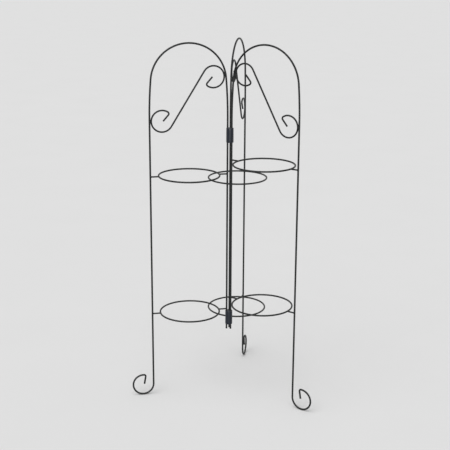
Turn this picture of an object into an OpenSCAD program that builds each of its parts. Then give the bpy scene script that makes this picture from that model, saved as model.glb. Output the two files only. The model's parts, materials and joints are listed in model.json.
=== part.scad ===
// Folding wire plant stand: three arched panels that swing about one upright bundle of legs.
//
// Millimetres, +Z up. The origin is on the floor, in the middle of the bundle.
// The rear panel points along +Y, and the left and right panels mirror each other.
// Every panel is drawn once, in its own plane: X runs out from the axis of its inner leg, and Z is up.

/* [Panels] */
// Height of the stand, to the top of the arches
stand_h = 1200; // [1000:10:1400]
// Distance between the centres of a panel's two legs
leg_span = 255.5; // [250:0.5:270]
// Diameter of the frame wire
frame_d = 6; // [5:0.25:6.5]
// How much smaller the arch's radius is than half the distance between the legs
arch_ease = 5.25; // [3:0.25:8]
// Angle by which each leg leans in, in one long soft bend, before the arch begins
ease_turn = 5; // [3:0.5:7]
// Height of the inner legs' lower ends above the floor
inner_tip_z = 223; // [150:1:300]
// Angle between the rear panel and each swinging panel, as it stands open
open_angle = 113.5; // [60:0.5:150]

/* [Feet] */
// Radius of the foot's curl, to the middle of the wire
foot_r = 35; // [30:1:45]
// Angle of the foot's curl
foot_turn = 272; // [240:1:290]
// Radius of the tight bend that ends the foot's curl
foot_bend_r = 6; // [5:0.5:9]
// Angle of that tight bend
foot_bend_turn = 98; // [60:1:120]
// Length of the straight tip inside the foot's curl
foot_tip = 26; // [10:1:30]

/* [Scrolls] */
// Diameter of the scroll wire
scroll_d = 5.5; // [4:0.25:6]
// Radius of the scroll's two curls, to the middle of the wire
scroll_r = 35; // [28:0.5:40]
// Height of the upper curl's centre above the centre of the arch, on the rear, left and right panels
scroll_rise = [24.5, 14.5, 24.5]; // [0:0.5:40]
// Depth of the lower curl's centre below the centre of the arch
scroll_drop = 124.5; // [100:0.5:150]
// Angle that each curl runs on past level, before its tight bend
scroll_past = 31; // [10:1:45]
// Radius of the tight bend that ends each curl
scroll_bend_r = 6.5; // [5:0.5:9]
// Angle of that tight bend
scroll_bend_turn = 100; // [60:1:120]
// Length of the straight tip inside each curl
scroll_tip = 25.5; // [10:0.5:28]

/* [Pot rings] */
// Gap between a leg and the ring, which a short arm bridges
arm_gap = 22; // [15:0.5:40]
// Diameter of the ring wire
ring_d = 5.5; // [5:0.25:6]
// Diameter of the wire of the short arms
arm_d = 5; // [3:0.25:5]
// Depth of the upper ring below the top of the stand, on the rear, left and right panels
upper_ring_drop = [475, 431.5, 384]; // [350:0.5:560]
// Height from one panel's lower ring to the next panel's: rear, left, right
ring_step = 42.5; // [41:0.5:60]

/* [Collars] */
// Outer diameter of the collars
collar_d = 24.5; // [24:0.5:32]
// Length of a collar
collar_len = 48; // [30:1:49]
// Length of the legs that shows below the lower collar
leg_stub = 17; // [10:0.5:30]
// Height of the rear panel's lower ring above the lower collar's lower end
slot_rise = 12.5; // [10.5:0.5:20]
// Depth of the upper collar's upper end below the top of the stand
upper_collar_drop = 278.5; // [160:0.5:330]
// Radius of the rounded rims
collar_rim = 1; // [0.5:0.1:1]
// Distance from the middle of the bundle to the centre of each leg
leg_offset = 8; // [7.9:0.1:9]
// Clearance on the radius, between a swinging leg and its hole in a collar
hinge_gap = 0.06; // [0.02:0.01:0.1]
// Bite on the radius with which a collar grips the rear leg
grip = 0.02; // [0.01:0.01:0.05]
// Clearance all round the rear arm in the lower collar's slot
slot_gap = 0.2; // [0.1:0.05:0.3]

/* [Wire] */
// How much the wire's radius shrinks where it is bent
bend_thin = 0.02; // [0.015:0.005:0.05]
// Length by which a bend runs on inside the straight wire at its ends
bend_lap = 0.3; // [0.2:0.05:0.35]
// Length of straight wire between two bends that follow each other
bend_land = 1; // [1:0.5:4]
// Bite of the welds where a scroll touches its frame
weld_bite = 0.06; // [0.06:0.01:0.1]

/* [Hidden] */
$fn = 96;
wire_colour = [0.10, 0.11, 0.115];
collar_colour = [0.17, 0.19, 0.25];

REAR = "rear";
SIDES = [REAR, "left", "right"];
UPPER = "upper";
TIERS = ["lower", UPPER];

// The legs stand at the corners of a triangle, with the rear leg at the back of it.
leg_angle = [for (turn = [0, 120, -120]) 90 + turn];
panel_angle = [for (swing = [0, open_angle, -open_angle]) 90 + swing];

// The legs lean in a little before the arch, so the arch is less than half a circle. The soft bends have just
// the radius that brings a leg to the end of the arch. The foot's curl rests on the floor.
bent_frame_r = frame_d / 2 - bend_thin;
middle_x = leg_span / 2;
arch_r = middle_x - arch_ease;
arch_z = stand_h - bent_frame_r - arch_r;
ease_r = (middle_x - arch_r * cos(ease_turn) - bend_land * sin(ease_turn)) / (1 - cos(ease_turn));
ease_z = arch_z + arch_r * sin(ease_turn) - bend_land * cos(ease_turn) - ease_r * sin(ease_turn);
foot_z = bent_frame_r + foot_r;

// The scroll's curls touch the inner side of the frame: the upper one under the arch, and the lower one at
// the outer leg.
curl_seat = (frame_d + scroll_d) / 2 - weld_bite;
lower_curl_x = leg_span - curl_seat - scroll_r;
function upper_curl_x(rise) = middle_x - sqrt(pow(arch_r - curl_seat - scroll_r, 2) - pow(rise, 2));

// A ring lies halfway between the two legs, and its arms fill the gaps.
ring_x = middle_x;
ring_r = middle_x - frame_d / 2 - arm_gap - ring_d / 2;

// The lower collar and the lower rings go with the lower ends of the inner legs, and the upper ones go with
// the arches.
lower_collar_z = inner_tip_z + leg_stub;
upper_collar_z = stand_h - upper_collar_drop - collar_len;

// Steps of a bent wire: a straight run is [length, 0], and a bend is [radius, angle], positive to the left.
frame_steps = [
    [ease_z - inner_tip_z, 0],
    [ease_r, -ease_turn],
    [bend_land, 0],
    [arch_r, 2 * ease_turn - 180],
    [bend_land, 0],
    [ease_r, -ease_turn],
    [ease_z - foot_z, 0],
    [foot_r, foot_turn],
    [bend_land, 0],
    [foot_bend_r, foot_bend_turn],
    [foot_tip, 0]
];

// A round wire that starts at the origin along +Y and lies in the XY plane. Each bend is a hair thinner than
// the straight wire and runs on a little inside it, so that the two join cleanly.
module bent_wire(steps, d, step = 0) {
    if (step < len(steps)) {
        size = steps[step][0];
        turn = steps[step][1];
        if (turn == 0) {
            rotate([-90, 0, 0]) cylinder(h = size, d = d);
            translate([0, size, 0]) bent_wire(steps, d, step + 1);
        } else {
            side = sign(turn);
            lap_angle = bend_lap / size * 180 / PI;
            translate([-side * size, 0, 0]) {
                rotate((turn > 0 ? 0 : 180 + turn) - lap_angle)
                    rotate_extrude(angle = abs(turn) + 2 * lap_angle)
                        translate([size, 0]) circle(r = d / 2 - bend_thin);
                rotate(turn) translate([side * size, 0, 0]) bent_wire(steps, d, step + 1);
            }
        }
    }
}

// Puts a piece drawn in the panel's plane into the stand.
module place_panel(side) {
    index = search([side], SIDES)[0];
    rotate(leg_angle[index]) translate([leg_offset, 0, 0])
        rotate(panel_angle[index] - leg_angle[index]) children();
}

// Stands a wire drawn in the XY plane upright in the panel's plane.
module upright() {
    rotate([90, 0, 0]) children();
}

// Height of a ring, at the middle of its wire. Each panel's rings lie above those of the panel before.
function ring_z(side, tier) =
    let (index = search([side], SIDES)[0])
    tier == UPPER ? stand_h - upper_ring_drop[index] : lower_collar_z + slot_rise + ring_step * index;

// One wire: inner leg, arch, outer leg and curled foot.
module frame() {
    color(wire_colour) upright()
        translate([0, inner_tip_z, 0]) bent_wire(frame_steps, frame_d);
}

// One wire: two curls joined by a straight link, drawn outwards from the middle of the link. The link crosses
// between the two curls and meets both of them without a corner.
module scroll(rise) {
    curl_run = lower_curl_x - upper_curl_x(rise);
    curl_fall = rise + scroll_drop;
    curl_distance = sqrt(pow(curl_run, 2) + pow(curl_fall, 2));
    link_fall = atan(curl_fall / curl_run) + asin(2 * scroll_r / curl_distance);
    link_length = sqrt(pow(curl_distance, 2) - pow(2 * scroll_r, 2));
    curl_steps = [
        [scroll_r, link_fall + 180 + scroll_past],
        [bend_land, 0],
        [scroll_bend_r, scroll_bend_turn],
        [scroll_tip, 0]
    ];
    link_x = (upper_curl_x(rise) + lower_curl_x) / 2;
    link_z = arch_z + (rise - scroll_drop) / 2;
    color(wire_colour) upright() translate([link_x, link_z, 0]) rotate(-90 - link_fall) {
        rotate([90, 0, 0]) cylinder(h = link_length, d = scroll_d, center = true);
        for (half = [0, 180])
            rotate(half) translate([0, link_length / 2, 0]) bent_wire(curl_steps, scroll_d);
    }
}

// A closed ring of wire that carries a pot by its rim.
module ring() {
    color(wire_colour)
        rotate_extrude() translate([ring_r, 0]) circle(d = ring_d);
}

// A short straight wire between a leg and the ring, its ends shaped to both.
module arm(leg_x) {
    near_x = ring_x + sign(leg_x - ring_x) * ring_r;
    color(wire_colour) difference() {
        translate([min(leg_x, near_x), 0, 0])
            rotate([0, 90, 0]) cylinder(h = abs(leg_x - near_x), d = arm_d);
        translate([leg_x, 0, -frame_d]) cylinder(h = 2 * frame_d, d = frame_d);
        translate([ring_x, 0, 0]) ring();
    }
}

// A sleeve with three holes: two are running fits for the swinging legs, and the rear one grips its leg.
module collar() {
    rim_r = collar_d / 2 - collar_rim;
    difference() {
        rotate_extrude() {
            square([rim_r, collar_len]);
            translate([0, collar_rim]) square([collar_d / 2, collar_len - 2 * collar_rim]);
            for (z = [collar_rim, collar_len - collar_rim])
                translate([rim_r, z]) circle(r = collar_rim);
        }
        for (index = [0 : len(SIDES) - 1]) {
            hole_r = frame_d / 2 + (SIDES[index] == REAR ? -grip : hinge_gap);
            rotate(leg_angle[index]) translate([leg_offset, 0, -1])
                cylinder(h = collar_len + 2, r = hole_r);
        }
    }
}

// The lower collar's slot straddles the rear panel's lower inner arm, and is open at the collar's lower end.
module lower_collar() {
    slot_w = arm_d + 2 * slot_gap;
    color(collar_colour) translate([0, 0, lower_collar_z]) difference() {
        collar();
        rotate(leg_angle[0]) translate([leg_offset, 0, 0]) {
            translate([0, -slot_w / 2, -1]) cube([collar_d, slot_w, slot_rise + 1]);
            translate([0, 0, slot_rise]) rotate([0, 90, 0]) cylinder(h = collar_d, d = slot_w);
        }
    }
}

module upper_collar() {
    color(collar_colour) translate([0, 0, upper_collar_z]) collar();
}

for (side = SIDES) {
    place_panel(side) frame();
    place_panel(side) scroll(scroll_rise[search([side], SIDES)[0]]);
    for (tier = TIERS) {
        z = ring_z(side, tier);
        place_panel(side) translate([ring_x, 0, z]) ring();
        place_panel(side) translate([0, 0, z]) arm(0);
        place_panel(side) translate([0, 0, z]) arm(leg_span);
    }
}
lower_collar();
upper_collar();
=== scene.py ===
# %% [markdown]
# # A folding wire stand for six plant pots
#
# The stand is three tall panels of painted steel wire that swing about one upright bundle of legs. The solids come
# from the CAD model, which already has the right wires in the right places. This lesson adds what a CAD model leaves
# out: weld metal where wires meet, paint that has gathered on cut ends, moulded collars, and real paint and plastic.

# %% Load the frame
import json
from cmath import exp, phase
from math import asin, cos, hypot, pi, radians, sin, sqrt, tau

import bmesh
import bpy
from mathutils import Matrix, Vector, noise


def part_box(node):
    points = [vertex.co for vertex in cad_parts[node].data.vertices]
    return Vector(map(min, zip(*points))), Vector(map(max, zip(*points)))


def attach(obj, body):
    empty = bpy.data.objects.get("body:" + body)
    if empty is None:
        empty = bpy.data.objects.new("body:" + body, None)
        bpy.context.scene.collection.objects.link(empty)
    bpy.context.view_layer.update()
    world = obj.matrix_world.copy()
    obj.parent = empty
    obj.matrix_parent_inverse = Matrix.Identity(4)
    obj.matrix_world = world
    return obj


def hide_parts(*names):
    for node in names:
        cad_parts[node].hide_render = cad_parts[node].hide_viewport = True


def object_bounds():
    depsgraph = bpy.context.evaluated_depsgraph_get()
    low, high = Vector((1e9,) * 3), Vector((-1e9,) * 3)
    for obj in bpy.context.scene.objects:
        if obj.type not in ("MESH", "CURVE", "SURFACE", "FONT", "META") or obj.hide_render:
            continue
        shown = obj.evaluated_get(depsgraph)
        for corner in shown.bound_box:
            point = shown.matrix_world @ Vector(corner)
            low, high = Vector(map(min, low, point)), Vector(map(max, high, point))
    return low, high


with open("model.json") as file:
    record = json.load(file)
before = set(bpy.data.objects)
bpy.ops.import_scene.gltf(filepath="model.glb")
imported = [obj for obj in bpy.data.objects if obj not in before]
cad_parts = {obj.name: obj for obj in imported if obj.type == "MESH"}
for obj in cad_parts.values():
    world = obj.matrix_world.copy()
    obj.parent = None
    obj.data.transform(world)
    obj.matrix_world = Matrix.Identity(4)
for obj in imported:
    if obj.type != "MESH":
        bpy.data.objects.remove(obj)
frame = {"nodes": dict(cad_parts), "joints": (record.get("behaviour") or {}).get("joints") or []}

MM = 0.001
cad_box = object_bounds()
print("CAD box in mm:", [[round(v / MM, 1) for v in corner] for corner in cad_box])

# %% [markdown]
# ## Where the panels stand
#
# Every panel is the same flat piece of wirework, so it is easiest to think of it in its own plane: `out` runs from
# the panel's inner leg to its outer leg, `up` is the height above the floor, and `side` is the distance in front of
# the plane. A short function turns such a place into a point of the stand. The three inner legs stand at the corners
# of a small triangle, and the two swinging panels are opened by the same angle from the rear one.

# %% Place a point of a panel in the stand
hinges = {joint["name"]: joint for joint in frame["joints"]}
LEG_OFFSET = hypot(*hinges["left_swing"]["pos_m"][:2])
OPEN_ANGLE = radians(-hinges["left_swing"]["range_deg"][0])

LEG_TURN = {"rear": pi / 2, "left": pi / 2 + tau / 3, "right": pi / 2 - tau / 3}
PANEL_TURN = {"rear": pi / 2, "left": pi / 2 + OPEN_ANGLE, "right": pi / 2 - OPEN_ANGLE}


def in_stand(panel, out, up, side=0.0):
    """The point of the stand that lies at (out, up, side) of a panel, in metres."""
    leg, turn = LEG_TURN[panel], PANEL_TURN[panel]
    return Vector((
        LEG_OFFSET * cos(leg) + out * cos(turn) - side * sin(turn),
        LEG_OFFSET * sin(leg) + out * sin(turn) + side * cos(turn),
        up,
    ))


for panel in PANEL_TURN:
    print(panel, "leg stands at", [round(v / MM, 2) for v in in_stand(panel, 0, 0)], "mm")

# %% [markdown]
# ## Follow a bent wire
#
# A wire bender works in steps: run straight for so long, bend round such a radius by such an angle. The same steps
# lead to the cut ends of the wires and to the places where a scroll touches its frame. In a flat plane a complex
# number is the handiest point: its real part is `out`, its imaginary part is `up`, and multiplying a heading by
# `exp(1j * angle)` turns it. The legs lean in a little below the arch, which takes one long soft bend on each side,
# so the arch itself is somewhat less than half a circle. A bent wire is a hair thinner than a straight one, and `LAND`
# is the short straight stretch that a bender leaves between two bends.

# %% Bend a wire in its plane
def bend(point, heading, steps):
    """Follow the steps (length, 0) or (radius, angle), and give the last point and heading."""
    for size, turn in steps:
        if turn:
            left = 1j if turn > 0 else -1j
            centre = point + left * size * heading
            point = centre + (point - centre) * exp(1j * turn)
            heading *= exp(1j * turn)
        else:
            point += size * heading
    return point, heading


WIRE_R, SCROLL_R, RING_R, ARM_R = 3.0 * MM, 2.75 * MM, 2.75 * MM, 2.5 * MM
BENT_WIRE_R = 2.98 * MM
LAND = 1 * MM
LEG_SPAN = 255.5 * MM
MIDDLE = LEG_SPAN / 2
ARCH_R = MIDDLE - 5.25 * MM
ARCH_Z = cad_box[1].z - BENT_WIRE_R - ARCH_R
EASE = radians(5)
EASE_R = (MIDDLE - ARCH_R * cos(EASE) - LAND * sin(EASE)) / (1 - cos(EASE))
EASE_Z = ARCH_Z + ARCH_R * sin(EASE) - LAND * cos(EASE) - EASE_R * sin(EASE)
INNER_TIP_Z = 223 * MM
FOOT_R, FOOT_TURN = 35 * MM, radians(272)
FOOT_Z = BENT_WIRE_R + FOOT_R
FOOT_CORNER_R, FOOT_CORNER_TURN = 6 * MM, radians(98)
FOOT_END = 26 * MM

soft_bend = [(EASE_R, -EASE), (LAND, 0)]
foot_tip, foot_heading = bend(INNER_TIP_Z * 1j, 1j, [
    (EASE_Z - INNER_TIP_Z, 0), *soft_bend, (ARCH_R, 2 * EASE - pi), *reversed(soft_bend), (EASE_Z - FOOT_Z, 0),
    (FOOT_R, FOOT_TURN), (LAND, 0), (FOOT_CORNER_R, FOOT_CORNER_TURN), (FOOT_END, 0),
])
print("the foot's wire ends", round(foot_tip.real / MM, 1), "mm out and", round(foot_tip.imag / MM, 1), "mm up")

# %% [markdown]
# ## The scroll's geometry
#
# The scroll is two curls joined by a straight link. One curl touches the arch from inside, the other touches the
# outer leg. The link meets both curls without a corner, which fixes its slope. The wires were bent by hand: the upper
# curl sits lower on the left panel than on the other two. From the middle of the link the wire runs the same steps
# both ways, so one list of steps gives both of its cut ends.

# %% Find the scroll's ends and the places where it is welded
CURL_R, CURL_PAST = 35 * MM, radians(31)
CURL_CORNER_R, CURL_CORNER_TURN = 6.5 * MM, radians(100)
CURL_END = 25.5 * MM
WELD_BITE = 0.06 * MM
CURL_SEAT = WIRE_R + SCROLL_R - WELD_BITE
CURL_RISE = {"rear": 24.5 * MM, "left": 14.5 * MM, "right": 24.5 * MM}
SCROLL_DROP = 124.5 * MM
LOWER_CURL = complex(LEG_SPAN - CURL_SEAT - CURL_R, ARCH_Z - SCROLL_DROP)


def upper_curl(panel):
    """The middle of a panel's upper curl."""
    rise = CURL_RISE[panel]
    return complex(MIDDLE - sqrt((ARCH_R - CURL_SEAT - CURL_R) ** 2 - rise ** 2), ARCH_Z + rise)


def scroll_tips(panel):
    """The cut ends of a scroll, and the headings of its wire there."""
    start = upper_curl(panel)
    reach = LOWER_CURL - start
    fall = -phase(reach) + asin(2 * CURL_R / abs(reach))
    link = sqrt(abs(reach) ** 2 - (2 * CURL_R) ** 2)
    steps = [(link / 2, 0), (CURL_R, fall + pi + CURL_PAST), (LAND, 0),
             (CURL_CORNER_R, CURL_CORNER_TURN), (CURL_END, 0)]
    return [bend((start + LOWER_CURL) / 2, way * exp(-1j * fall), steps) for way in (1, -1)]


for panel in PANEL_TURN:
    print(panel, "scroll ends at", [(round(p.real / MM, 1), round(p.imag / MM, 1)) for p, _ in scroll_tips(panel)])

# %% [markdown]
# ## Skin a form from rings of points
#
# Weld beads, paint drops and sleeves are all rings of points joined by faces. One helper makes such a skin: the
# rings either close onto each other like a tyre, or end in a point at each end. A second helper turns the finished
# mesh into a piece that moves with its panel and is listed under a material slot.

# %% Join rings of points into a closed skin
def add_skin(mesh, rings, ends=None):
    """Add rings of points joined by faces. Without end points, the last ring joins the first."""
    rows = [[mesh.verts.new(point) for point in ring] for ring in rings]
    count = len(rows[0])
    pairs = list(zip(rows, rows[1:])) if ends else list(zip(rows, rows[1:] + rows[:1]))
    for low, high in pairs:
        for i in range(count):
            j = (i + 1) % count
            mesh.faces.new((low[i], low[j], high[j], high[i]))
    if ends:
        for row, end in ((rows[0], ends[0]), (rows[-1], ends[1])):
            tip = mesh.verts.new(end)
            for i in range(count):
                mesh.faces.new((row[i], row[(i + 1) % count], tip))


def make_piece(name, mesh, body, material):
    """Turn a mesh into an object that rides on a body."""
    bmesh.ops.recalc_face_normals(mesh, faces=mesh.faces)
    if mesh.calc_volume(signed=True) < 0:
        bmesh.ops.reverse_faces(mesh, faces=mesh.faces)
    for face in mesh.faces:
        face.smooth = True
    data = bpy.data.meshes.new(name)
    mesh.to_mesh(data)
    mesh.free()
    data.materials.append(material)
    piece = bpy.data.objects.new(name, data)
    bpy.context.scene.collection.objects.link(piece)
    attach(piece, body)
    print(name, "has", len(data.vertices), "points and", len(data.polygons), "faces")
    return piece

# %% [markdown]
# ## Shader maths as plain Python
#
# A material is a graph of nodes, but the maths in it reads best as ordinary sums. `Field` wraps one output of a node,
# and adds a Math node for each sum that is written with it. `Recipe` is the graph itself: its one method `add` makes
# any other node from its type, its settings, and the values or fields on its inputs.

# %% A field and a recipe
class Field:
    """A value that varies over a surface, with sums that add Math nodes."""

    def __init__(self, recipe, socket):
        self.recipe, self.socket = recipe, socket

    def sum(self, operation, first, second):
        return self.recipe.add("ShaderNodeMath", {"operation": operation}, {0: first, 1: second})

    def __add__(self, other):
        return self.sum("ADD", self, other)

    def __sub__(self, other):
        return self.sum("SUBTRACT", self, other)

    def __rsub__(self, other):
        return self.sum("SUBTRACT", other, self)

    def __mul__(self, other):
        return self.sum("MULTIPLY", self, other)

    def __pow__(self, other):
        return self.sum("POWER", self, other)

    __radd__, __rmul__ = __add__, __mul__


class Recipe:
    """The node graph of a material or of the world."""

    def __init__(self, owner):
        owner.use_nodes = True
        self.tree = owner.node_tree
        self.tree.nodes.clear()

    def add(self, kind, settings=None, inputs=None, output=0):
        node = self.tree.nodes.new(kind)
        for name, value in (settings or {}).items():
            setattr(node, name, value)
        for name, value in (inputs or {}).items():
            if isinstance(value, Field):
                self.tree.links.new(value.socket, node.inputs[name])
            else:
                node.inputs[name].default_value = value
        return Field(self, node.outputs[output] if node.outputs else None)

    def colours(self, mask, first, second):
        """Two colours mixed by a mask: the first where it is 0, the second where it is 1."""
        return self.add("ShaderNodeMix", {"data_type": "RGBA"}, {0: mask, 6: first, 7: second}, 2)

    def step(self, value, low, high):
        """A soft step from 0 at low to 1 at high."""
        return self.add("ShaderNodeMapRange", {"interpolation_type": "SMOOTHSTEP"},
                        {"Value": value, "From Min": low, "From Max": high})

    def mottle(self, place, size, detail=2.0):
        """Cloudy noise with patches of about the given size."""
        return self.add("ShaderNodeTexNoise", None, {"Vector": place, "Scale": 1 / size, "Detail": detail})


def grey(value, alpha=1.0):
    return (value, value, value, alpha)

# %% [markdown]
# ## Satin black paint on wire
#
# The wires are dipped or powder coated, and look nearly black. Up close the film has the dimpled skin that is called
# orange peel, a little over a millimetre across, on top of slow waves. Its shade and sheen drift slightly from place
# to place, and fine dust settles on whatever faces up. The same recipe takes a `wear` function for the places where
# this piece gets rubbed, so that all wires clearly come out of one paint bath.

# %% Mix the paint
PAINT_DARK = (0.0060, 0.0068, 0.0070, 1)
PAINT_LIGHT = (0.0105, 0.0118, 0.0120, 1)
PAINT_SPECULAR = 0.22
DUST = (0.060, 0.056, 0.048, 1)
BARE_STEEL = (0.085, 0.080, 0.074, 1)
DRIFT_SIZE, WAVE_SIZE, DUST_SIZE, PEEL_SIZE = 40 * MM, 8 * MM, 9 * MM, 1.3 * MM


def wire_paint(name, wear=None, peel_depth=0.10 * MM):
    """Satin black paint, with an optional mask of where it is rubbed thin."""
    material = bpy.data.materials.new(name)
    recipe = Recipe(material)
    place = recipe.add("ShaderNodeTexCoord", output="Object")
    upward = recipe.add("ShaderNodeSeparateXYZ", None,
                        {0: recipe.add("ShaderNodeTexCoord", output="Normal")}, 2)
    shade = recipe.mottle(place, DRIFT_SIZE)
    dust = recipe.step(upward, 0.35, 1.0) * recipe.step(recipe.mottle(place, DUST_SIZE), 0.35, 0.75)
    rubbed = wear(recipe, place, upward) if wear else dust * 0.0
    colour = recipe.colours(recipe.step(shade, 0.3, 0.7), PAINT_DARK, PAINT_LIGHT)
    colour = recipe.colours(dust * 0.35, colour, DUST)
    colour = recipe.colours(rubbed, colour, BARE_STEEL)
    sheen = 0.36 + shade * 0.12 + dust * 0.18 + rubbed * 0.10
    peel = recipe.mottle(place, PEEL_SIZE, 1.0) + recipe.mottle(place, WAVE_SIZE) * 2.0 - rubbed * 0.6
    bump = recipe.add("ShaderNodeBump", None, {"Strength": 0.6, "Distance": peel_depth, "Height": peel})
    paint = recipe.add("ShaderNodeBsdfPrincipled", None, {
        "Base Color": colour, "Roughness": sheen, "Normal": bump, "Specular IOR Level": PAINT_SPECULAR})
    recipe.add("ShaderNodeOutputMaterial", None, {"Surface": paint})
    print(material.name, "has", len(recipe.tree.nodes), "nodes")
    return material

# %% [markdown]
# ## Where paint wears
#
# Wear tells how a thing is used. The soles of the feet scrape on paving, so their lowest few millimetres are chipped.
# The swinging legs rub at the mouths of the collars, which polishes a narrow band there. A pot's rim slides on the
# top of its ring. Each mask is broken up by small noise, because paint leaves in flakes and scratches. Each fade is a
# pair of lengths: the wear is full up to the first one and gone at the second.

# %% Masks for feet, collar bands and ring tops
COLLARS = {name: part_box(name + "_collar") for name in ("lower", "upper")}
FLAKE_SIZE, PATCH_SIZE, SCRATCH_SIZE = 2.2 * MM, 14 * MM, 1.6 * MM
SOLE_FADE = (1.5 * MM, 9 * MM)
BAND_FADE = (0.5 * MM, 3 * MM)
BUNDLE_FADE = (14 * MM, 18 * MM)


def foot_and_collar_wear(recipe, place, upward):
    """Chips under the feet, and polished bands where the legs leave the collars."""
    height = recipe.add("ShaderNodeSeparateXYZ", None, {0: place}, 2)
    flakes = recipe.step(recipe.mottle(place, FLAKE_SIZE), 0.5, 0.62)
    soles = (1 - recipe.step(height, *SOLE_FADE)) * flakes
    across = recipe.add("ShaderNodeVectorMath", {"operation": "MULTIPLY"}, {0: place, 1: (1, 1, 0)})
    from_bundle = recipe.add("ShaderNodeVectorMath", {"operation": "LENGTH"}, {0: across}, "Value")
    in_bundle = 1 - recipe.step(from_bundle, *BUNDLE_FADE)
    bands = 0.0
    for low, high in COLLARS.values():
        for mouth in (low.z, high.z):
            gap = recipe.add("ShaderNodeMath", {"operation": "ABSOLUTE"}, {0: height - mouth})
            bands = bands + (1 - recipe.step(gap, *BAND_FADE))
    return soles * 0.8 + bands * in_bundle * (0.12 + 0.35 * flakes)


def ring_wear(recipe, place, upward):
    """Fine rubbed patches along the top of a ring, where a pot's rim sits."""
    patches = recipe.step(recipe.mottle(place, PATCH_SIZE), 0.42, 0.62)
    scratches = recipe.step(recipe.mottle(place, SCRATCH_SIZE, 3.0), 0.46, 0.60)
    return recipe.step(upward, 0.55, 0.95) * patches * (0.10 + 0.50 * scratches)


frame_paint = wire_paint("paint_on_frames", foot_and_collar_wear)
ring_paint = wire_paint("paint_on_rings", ring_wear)
plain_paint = wire_paint("paint_on_scrolls_and_arms")
weld_paint = wire_paint("paint_on_welds", peel_depth=0.20 * MM)

# %% Paint the CAD wires
wires = {name: node for name, node in frame["nodes"].items() if not name.endswith("_collar")}
for name, node in wires.items():
    paint = frame_paint if name.endswith("_frame") else ring_paint if name.endswith("_ring") else plain_paint
    for material_slot in node.material_slots:
        material_slot.material = paint
print("painted", len(wires), "wires")

# %% [markdown]
# ## Welds round the short arms
#
# A pot ring hangs on two short arms, and each end of an arm is welded to a rounder wire: the leg at one end, the ring
# at the other. The weld metal fills the corner between the two wires as a small hollow-faced bead. It could be a bump
# in the material, but then the joint would still look like two sticks pushed together. So each bead is a skin that
# starts on the arm, dips into the corner and ends on the other wire, a bit uneven as hand welding is.

# %% Shape one bead round an arm
WELD_STEPS, WELD_UNEVEN = 28, 0.35
BEAD_CLIMB, BEAD_SINK = 1.25 * MM, 0.08 * MM
LEG_BEAD_SIDE, LEG_BEAD_UP = 0.30 * MM, 1.35 * MM
RING_BEAD_SIDE, RING_BEAD_UP = 1.35 * MM, 0.15 * MM
CURVE_STOPS = (0, 0.2, 0.4, 0.6, 0.8, 1)


def arm_bead(panel, out, up, way, round_leg, seed):
    """Rings of points for the bead where an arm leaves a wire: way is 1 for outwards and -1 for inwards."""
    wire_r = WIRE_R if round_leg else RING_R
    wide_side, wide_up = (LEG_BEAD_SIDE, LEG_BEAD_UP) if round_leg else (RING_BEAD_SIDE, RING_BEAD_UP)
    rings = []
    for i in range(WELD_STEPS):
        turn = tau * i / WELD_STEPS
        s, c = sin(turn), cos(turn)
        lump = 1 + WELD_UNEVEN * noise.noise(Vector((1.3 * s, 1.3 * c, seed)))
        corner_side, corner_up = ARM_R * s, ARM_R * c
        foot_side, foot_up = (ARM_R + wide_side * lump) * s, (ARM_R + wide_up * lump) * c
        across = (corner_side, foot_side) if round_leg else (corner_up, foot_up)
        corner_out, foot_out = (sqrt(max(wire_r ** 2 - v ** 2, (0.3 * MM) ** 2)) for v in across)
        climb = BEAD_CLIMB * lump
        start = Vector((corner_out + climb, corner_side * 0.97, corner_up * 0.97))
        corner = Vector((corner_out, corner_side, corner_up))
        end = Vector((foot_out - BEAD_SINK, foot_side, foot_up))
        pull = corner.lerp((start + end) / 2, 0.45)
        ring = [start * (1 - t) ** 2 + pull * (2 * t * (1 - t)) + end * t ** 2 for t in CURVE_STOPS]
        ring.append(Vector((foot_out - 0.6 * MM, foot_side * 0.8, foot_up * 0.8)))
        ring.append(Vector((corner_out + 0.2 * MM, corner_side * 0.7, corner_up * 0.7)))
        rings.append([in_stand(panel, out + way * p.x, up + p.z, p.y) for p in ring])
    return rings


# %% Weld all the arms
ARM_GAP = 22 * MM
POT_RING_R = MIDDLE - WIRE_R - ARM_GAP - RING_R


def arm_height(panel, tier, end):
    low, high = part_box(f"{panel}_{tier}_{end}_arm")
    return (low.z + high.z) / 2


def weld_arms(panel):
    """The beads at both ends of a panel's four arms. The one inside the lower collar's slot is ground flush."""
    mesh = bmesh.new()
    count = 0
    for tier in ("lower", "upper"):
        for end, leg_out, way in (("inner", 0.0, 1), ("outer", LEG_SPAN, -1)):
            up = arm_height(panel, tier, end)
            if not COLLARS["lower"][0].z < up < COLLARS["lower"][1].z or end == "outer":
                add_skin(mesh, arm_bead(panel, leg_out, up, way, True, count + 0.3))
            add_skin(mesh, arm_bead(panel, MIDDLE - way * POT_RING_R, up, -way, False, count + 7.3))
            count += 1
    return make_piece(f"{panel}_arm_welds", mesh, f"{panel}_panel", weld_paint)


for panel in PANEL_TURN:
    weld_arms(panel)

# %% [markdown]
# ## Welds along the scrolls
#
# A scroll only touches its frame with the backs of its curls, so each touch is held by a bead laid along the groove
# between the two wires. The bead is a long lozenge: it follows the frame's wire, is widest in the middle and tapers
# out where the wires part. It stands lower than the wires on either side of it.

# %% Lay a bead in each groove
BEAD_HALF = 6.5 * MM
BEAD_WIDE, BEAD_DEEP, BEAD_LEAST = 1.9 * MM, 1.7 * MM, 0.25 * MM
BEAD_RINGS, BEAD_POINTS, BEAD_UNEVEN = 16, 16, 0.16


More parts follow.
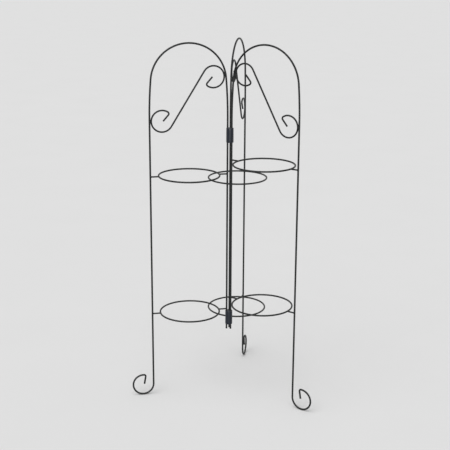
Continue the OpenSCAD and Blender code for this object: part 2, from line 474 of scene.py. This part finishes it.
def groove_bead(mesh, panel, touch, inward, curve_r, seed):
    """A lozenge at the touch point. inward points from the frame's wire to the curl, and curve_r bends the bead."""
    along = inward * 1j
    rings = []
    for i in range(1, BEAD_RINGS):
        run = -cos(pi * i / BEAD_RINGS)
        taper = sqrt(1 - run ** 2)
        lump = 1 + BEAD_UNEVEN * noise.noise(Vector((3.5 * run, seed, 0.5)))
        middle = touch + along * run * BEAD_HALF
        if curve_r:
            middle += inward * (run * BEAD_HALF) ** 2 / (2 * curve_r)
        ring = []
        for k in range(BEAD_POINTS):
            turn = tau * k / BEAD_POINTS
            wide = BEAD_WIDE * taper * lump * cos(turn)
            deep = (BEAD_DEEP * taper + BEAD_LEAST) * lump * sin(turn)
            place = middle + inward * wide
            ring.append(in_stand(panel, place.real, place.imag, deep))
        rings.append(ring)
    ends = [touch + along * way * BEAD_HALF * 0.995 for way in (-1, 1)]
    if curve_r:
        ends = [end + inward * BEAD_HALF ** 2 / (2 * curve_r) for end in ends]
    add_skin(mesh, rings, [in_stand(panel, end.real, end.imag) for end in ends])


def weld_scroll(panel):
    mesh = bmesh.new()
    arch_centre = complex(MIDDLE, ARCH_Z)
    from_arch = upper_curl(panel) - arch_centre
    from_arch /= abs(from_arch)
    groove_bead(mesh, panel, arch_centre + from_arch * (ARCH_R - WIRE_R), -from_arch, ARCH_R, 1.7)
    groove_bead(mesh, panel, complex(LEG_SPAN - WIRE_R, LOWER_CURL.imag), -1 + 0j, 0, 5.2)
    return make_piece(f"{panel}_scroll_welds", mesh, f"{panel}_panel", weld_paint)


for panel in PANEL_TURN:
    weld_scroll(panel)

# %% [markdown]
# ## Paint gathers on cut ends
#
# Each wire is cut to length before it is painted. On a cut end the film pulls itself round the sharp edge and hangs
# there as a smooth bead, a trace thicker than the wire. A flat disc would show as a hard bright edge, so each end
# gets a little dome, slightly fuller on its lower side where the wet paint ran. Its profile lists how far along the
# wire each ring of points lies, in millimetres past the cut, and how much it stands out from the wire.

# %% Put a drop of paint on each end
DROP_PROFILE = [(-2.2, -0.30), (-1.9, 0.015), (-1.3, 0.05), (-0.7, 0.09), (-0.2, 0.09), (0.1, 0.0),
                (0.35, -0.35), (0.52, -0.85), (0.62, -1.5)]
DROP_ENDS = (-2.2, 0.66)
DROP_POINTS = 32


def paint_drop(mesh, panel, tip, heading, wire_r):
    """A thin thimble over the end of a wire, closed inside the wire."""
    across = heading * 1j
    rings = []
    for along, swell in DROP_PROFILE:
        ring = []
        for k in range(DROP_POINTS):
            turn = tau * k / DROP_POINTS
            sideways, flat = cos(turn), sin(turn)
            hang = 1 + 0.02 * max(0.0, -(across * sideways).imag)
            r = (wire_r + swell * MM) * (hang if swell > 0 else 1)
            place = tip + heading * along * MM + across * r * sideways
            ring.append(in_stand(panel, place.real, place.imag, r * flat))
        rings.append(ring)
    ends = [tip + heading * along * MM for along in DROP_ENDS]
    add_skin(mesh, rings, [in_stand(panel, end.real, end.imag) for end in ends])


def paint_ends(panel):
    mesh = bmesh.new()
    paint_drop(mesh, panel, INNER_TIP_Z * 1j, -1j, WIRE_R)
    paint_drop(mesh, panel, foot_tip, foot_heading, WIRE_R)
    for tip, heading in scroll_tips(panel):
        paint_drop(mesh, panel, tip, heading, SCROLL_R)
    return make_piece(f"{panel}_wire_tips", mesh, f"{panel}_panel", plain_paint)


for panel in PANEL_TURN:
    paint_ends(panel)

# %% [markdown]
# ## Collar plastic
#
# The two collars are moulded in a dark blue-grey plastic with about the sheen of the paint, so that its cooler tone
# sets it apart. Moulded plastic is even, so its life is in small things: a fine matt texture, a cloudy drift of tone,
# and rims that are scuffed paler by handling.

# %% Mix the plastic
PLASTIC_DARK = (0.0035, 0.0062, 0.0120, 1)
PLASTIC_LIGHT = (0.0060, 0.0095, 0.0170, 1)
PLASTIC_SCUFFED = (0.075, 0.082, 0.100, 1)
PLASTIC_SPECULAR = 0.33
RIM_FADE = (0.4 * MM, 2.2 * MM)
CLOUD_SIZE, SCUFF_SIZE, MARK_SIZE, GRAIN_SIZE, DENT_SIZE = 16 * MM, 1.8 * MM, 5 * MM, 0.5 * MM, 6 * MM
GRAIN_DEPTH = 0.03 * MM


def collar_plastic():
    material = bpy.data.materials.new("moulded_collar_plastic")
    recipe = Recipe(material)
    place = recipe.add("ShaderNodeTexCoord", output="Object")
    height = recipe.add("ShaderNodeSeparateXYZ", None, {0: place}, 2)
    clouds = recipe.step(recipe.mottle(place, CLOUD_SIZE), 0.3, 0.7)
    rims = 0.0
    for low, high in COLLARS.values():
        for rim in (low.z, high.z):
            gap = recipe.add("ShaderNodeMath", {"operation": "ABSOLUTE"}, {0: height - rim})
            rims = rims + (1 - recipe.step(gap, *RIM_FADE))
    scuffs = rims * recipe.step(recipe.mottle(place, SCUFF_SIZE, 3.0), 0.42, 0.66)
    marks = recipe.step(recipe.mottle(place, MARK_SIZE, 4.0), 0.60, 0.72)
    colour = recipe.colours(clouds, PLASTIC_DARK, PLASTIC_LIGHT)
    colour = recipe.colours(scuffs * 0.45 + marks * 0.10, colour, PLASTIC_SCUFFED)
    texture = recipe.mottle(place, GRAIN_SIZE, 1.0) + recipe.mottle(place, DENT_SIZE) * 0.8
    bump = recipe.add("ShaderNodeBump", None, {"Strength": 0.5, "Distance": GRAIN_DEPTH, "Height": texture})
    sheen = 0.33 + clouds * 0.05 + scuffs * 0.15
    plastic = recipe.add("ShaderNodeBsdfPrincipled", None, {
        "Base Color": colour, "Roughness": sheen, "Normal": bump, "Specular IOR Level": PLASTIC_SPECULAR})
    recipe.add("ShaderNodeOutputMaterial", None, {"Surface": plastic})
    return material


collar_material = collar_plastic()

# %% [markdown]
# ## Mould the collars
#
# A collar is a sleeve with three bores. A moulding has things that a turned solid lacks: it is a hair fuller in the
# middle, its rims and the mouths of its bores are rounded, and a fine raised line runs down each flank where the two
# halves of the mould met. Its outline and its bores are stacks of rings with the same number of points at both ends,
# and the two faces between them are filled last.

# %% Shape a collar's outline and bores
COLLAR_R, COLLAR_POINTS = 12.25 * MM, 72
LINE_HIGH, LINE_HALF = 0.13 * MM, radians(2.0)
LINE_TURNS = (-2.6, -1.3, 0, 1.3, 2.6)
RIM, MOUTH, BULGE = 0.6 * MM, 0.15 * MM, 0.10 * MM
BARREL_ROWS = (0.35, 0.7, 1.0, 1.3, 1.65)
GRIPPED_GAP, RUNNING_GAP = 0.02 * MM, 0.10 * MM
BORE_POINTS = 40


def collar_outline(swell):
    """Points round the outside, with a fine ridge on the left and on the right."""
    turns = sorted([tau * i / COLLAR_POINTS for i in range(COLLAR_POINTS) if i % (COLLAR_POINTS // 2)]
                   + [pi * half + radians(d) for half in (0, 1) for d in LINE_TURNS])
    points = []
    for turn in turns:
        off = abs((turn + pi / 2) % pi - pi / 2)
        ridge = LINE_HIGH * max(0.0, 1 - off / LINE_HALF)
        r = COLLAR_R - LINE_HIGH + swell + ridge
        points.append((r * cos(turn), r * sin(turn)))
    return points


def collar_mesh(low, high):
    """A sleeve between two heights, as one closed skin."""
    mesh = bmesh.new()
    steps = [(RIM * (1 - cos(a)), RIM * (sin(a) - 1)) for a in (0, pi / 8, pi / 4, 3 * pi / 8, pi / 2)]
    half = (high - low) / 2
    heights = [(low + up, back) for up, back in steps]
    heights += [(low + half * f, 0.0) for f in BARREL_ROWS]
    heights += [(high - up, back) for up, back in reversed(steps)]
    skins = []
    rows = []
    for up, back in heights:
        lean = ((up - low - half) / half) ** 2
        rows.append([mesh.verts.new((x, y, up)) for x, y in collar_outline(back - BULGE * lean)])
    skins.append(rows)
    for panel, leg in LEG_TURN.items():
        bore = WIRE_R + (GRIPPED_GAP if panel == "rear" else RUNNING_GAP)
        x, y = LEG_OFFSET * cos(leg), LEG_OFFSET * sin(leg)
        rows = []
        for up, back in ((low, MOUTH), (low + MOUTH * 0.35, MOUTH * 0.35), (low + MOUTH, 0.0),
                         (high - MOUTH, 0.0), (high - MOUTH * 0.35, MOUTH * 0.35), (high, MOUTH)):
            r = bore + back
            turns = [tau * k / BORE_POINTS for k in range(BORE_POINTS)]
            rows.append([mesh.verts.new((x + r * cos(turn), y + r * sin(turn), up)) for turn in turns])
        skins.append(rows)
    edges = {0: [], -1: []}
    for rows in skins:
        for below, above in zip(rows, rows[1:]):
            for i in range(len(below)):
                j = (i + 1) % len(below)
                mesh.faces.new((below[i], below[j], above[j], above[i]))
        for end in edges:
            row = rows[end]
            edges[end] += [mesh.edges.get((row[i], row[i - 1])) for i in range(len(row))]
    for loop in edges.values():
        bmesh.ops.triangle_fill(mesh, edges=loop, use_beauty=True)
    return mesh

# %% [markdown]
# ## The slot in the lower collar
#
# The rear panel's lower ring sits so low that its inner arm would run through the lower collar. The collar is slotted
# from below to straddle it. A cutter with a round top is subtracted from the moulding, because a sawn or milled slot
# has crisp edges, and that is what a Boolean leaves.

# %% Cut the slot and place both collars
SLOT_GAP = 0.2 * MM
CUTTER_DOWN, CUTTER_OUT = 20 * MM, 12 * MM
SHARP_FROM = radians(38)


def cut_slot(piece, up, half_wide):
    """Subtract a slot that opens downwards at the back of the collar."""
    mesh = bmesh.new()
    section = [(-half_wide, -CUTTER_DOWN), (half_wide, -CUTTER_DOWN)]
    section += [(half_wide * cos(pi * k / 16), half_wide * sin(pi * k / 16)) for k in range(17)]
    rows = []
    for out in (0.0, CUTTER_OUT):
        rows.append([mesh.verts.new(in_stand("rear", out, up + height, side)) for side, height in section])
    for i in range(len(section)):
        j = (i + 1) % len(section)
        mesh.faces.new((rows[0][i], rows[0][j], rows[1][j], rows[1][i]))
    for row in rows:
        mesh.faces.new(row)
    bmesh.ops.recalc_face_normals(mesh, faces=mesh.faces)
    data = bpy.data.meshes.new("slot_cutter")
    mesh.to_mesh(data)
    mesh.free()
    cutter = bpy.data.objects.new("slot_cutter", data)
    bpy.context.scene.collection.objects.link(cutter)
    cut = piece.modifiers.new("slot", "BOOLEAN")
    cut.operation, cut.solver, cut.object = "DIFFERENCE", "EXACT", cutter
    bpy.context.view_layer.update()
    shaped = bpy.data.meshes.new_from_object(piece.evaluated_get(bpy.context.evaluated_depsgraph_get()))
    piece.modifiers.clear()
    old, piece.data = piece.data, shaped
    bpy.data.meshes.remove(old)
    bpy.data.objects.remove(cutter)
    bpy.data.meshes.remove(data)


for name, (low, high) in COLLARS.items():
    sleeve = make_piece(f"{name}_collar_sleeve", collar_mesh(low.z, high.z), "rear_panel",
                        collar_material)
    if name == "lower":
        cut_slot(sleeve, arm_height("rear", "lower", "inner"), ARM_R + SLOT_GAP)
    sleeve.data.set_sharp_from_angle(angle=SHARP_FROM)
    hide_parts(f"{name}_collar")
    print(sleeve.name, "is", round((high.z - low.z) / MM, 1), "mm long, with", len(sleeve.data.vertices), "points")

# %% [markdown]
# ## Floor, light and camera
#
# A thin dark object reads best against a plain pale floor. The floor runs far back, so no edge or corner shows, and
# the sky is the same pale tone. Two soft lamps stand in for studio panels: a low one straight behind the camera, which
# draws the gentle streak down each wire, and a large one overhead, a little to the left. Together with the sky they
# light the stand at a plain level, so a colour looks about as it was mixed.

# %% Lay the floor
FLOOR_TONE, FLOOR_DRIFT = 0.80, 0.01
FLOOR_R, DRIFT_PATCH = 90.0, 0.35
floor_mesh = bmesh.new()
bmesh.ops.create_circle(floor_mesh, cap_ends=True, segments=96, radius=FLOOR_R)
floor_data = bpy.data.meshes.new("floor")
floor_mesh.to_mesh(floor_data)
floor_mesh.free()
floor = bpy.data.objects.new("floor", floor_data)
bpy.context.scene.collection.objects.link(floor)
floor_material = bpy.data.materials.new("pale_floor")
recipe = Recipe(floor_material)
place = recipe.add("ShaderNodeTexCoord", output="Object")
tone = recipe.colours(recipe.mottle(place, DRIFT_PATCH), grey(FLOOR_TONE - FLOOR_DRIFT),
                      grey(FLOOR_TONE + FLOOR_DRIFT))
matt = recipe.add("ShaderNodeBsdfPrincipled", None, {
    "Base Color": tone, "Roughness": 1.0, "Specular IOR Level": 0.0})
recipe.add("ShaderNodeOutputMaterial", None, {"Surface": matt})
floor_data.materials.append(floor_material)
print("the floor's tone is", FLOOR_TONE)

# %% Hang the lamps and tint the sky
def soft_sun(name, strength, spread, azimuth, elevation):
    """A wide, even lamp. The azimuth is where it stands, in degrees to the right of straight in front."""
    lamp = bpy.data.lights.new(name, "SUN")
    lamp.energy, lamp.angle = strength, radians(spread)
    sun = bpy.data.objects.new(name, lamp)
    bpy.context.scene.collection.objects.link(sun)
    a, e = radians(azimuth), radians(elevation)
    stands = Vector((sin(a) * cos(e), -cos(a) * cos(e), sin(e)))
    sun.rotation_euler = stands.to_track_quat("Z", "Y").to_euler()
    return sun


soft_sun("front_panel", strength=1.6, spread=12, azimuth=11, elevation=4)
soft_sun("overhead_panel", strength=1.9, spread=60, azimuth=-20, elevation=62)

SKY_TONE = 0.36
HORIZON_TONE = 0.76
world = bpy.data.worlds.new("pale_sky")
bpy.context.scene.world = world
recipe = Recipe(world)
rays = {name: recipe.add("ShaderNodeLightPath", output=name)
        for name in ("Is Camera Ray", "Is Glossy Ray", "Is Transmission Ray")}
seen = recipe.add("ShaderNodeMath", {"operation": "MINIMUM"}, {0: sum(rays.values()), 1: 1.0})
sky = recipe.add("ShaderNodeBackground", None, {
    "Color": recipe.colours(seen, grey(SKY_TONE), grey(HORIZON_TONE)), "Strength": 1.0})
recipe.add("ShaderNodeOutputWorld", None, {"Surface": sky})
print("the sky lights at", SKY_TONE, "and is seen at", HORIZON_TONE)

# %% [markdown]
# ## The camera
#
# The view is that of a long lens about three metres off, a little below a standing person's eyes and looking slightly
# down. The numbers come from fitting one camera to the wires' middles in the photograph, so the stand lands in the
# picture where the real one does.

# %% Set up the camera
CAMERA_PLACE = Vector((0.6392, -3.1298, 1.5062))
CAMERA_TURN, CAMERA_FALL, CAMERA_ROLL = radians(101.803), radians(15.967), radians(0.297)
lens = bpy.data.cameras.new("camera")
lens.sensor_width, lens.lens = 36.0, 79.35
camera = bpy.data.objects.new("camera", lens)
bpy.context.scene.collection.objects.link(camera)
look = Vector((cos(CAMERA_TURN) * cos(CAMERA_FALL), sin(CAMERA_TURN) * cos(CAMERA_FALL), -sin(CAMERA_FALL)))
level = look.cross(Vector((0, 0, 1))).normalized()
right = Matrix.Rotation(-CAMERA_ROLL, 3, look) @ level
upright = right.cross(look)
camera.matrix_world = Matrix.Translation(CAMERA_PLACE) @ Matrix((right, upright, -look)).transposed().to_4x4()
bpy.context.scene.camera = camera
bpy.context.scene.view_settings.view_transform = "Standard"
print("the camera looks", [round(v, 3) for v in look])
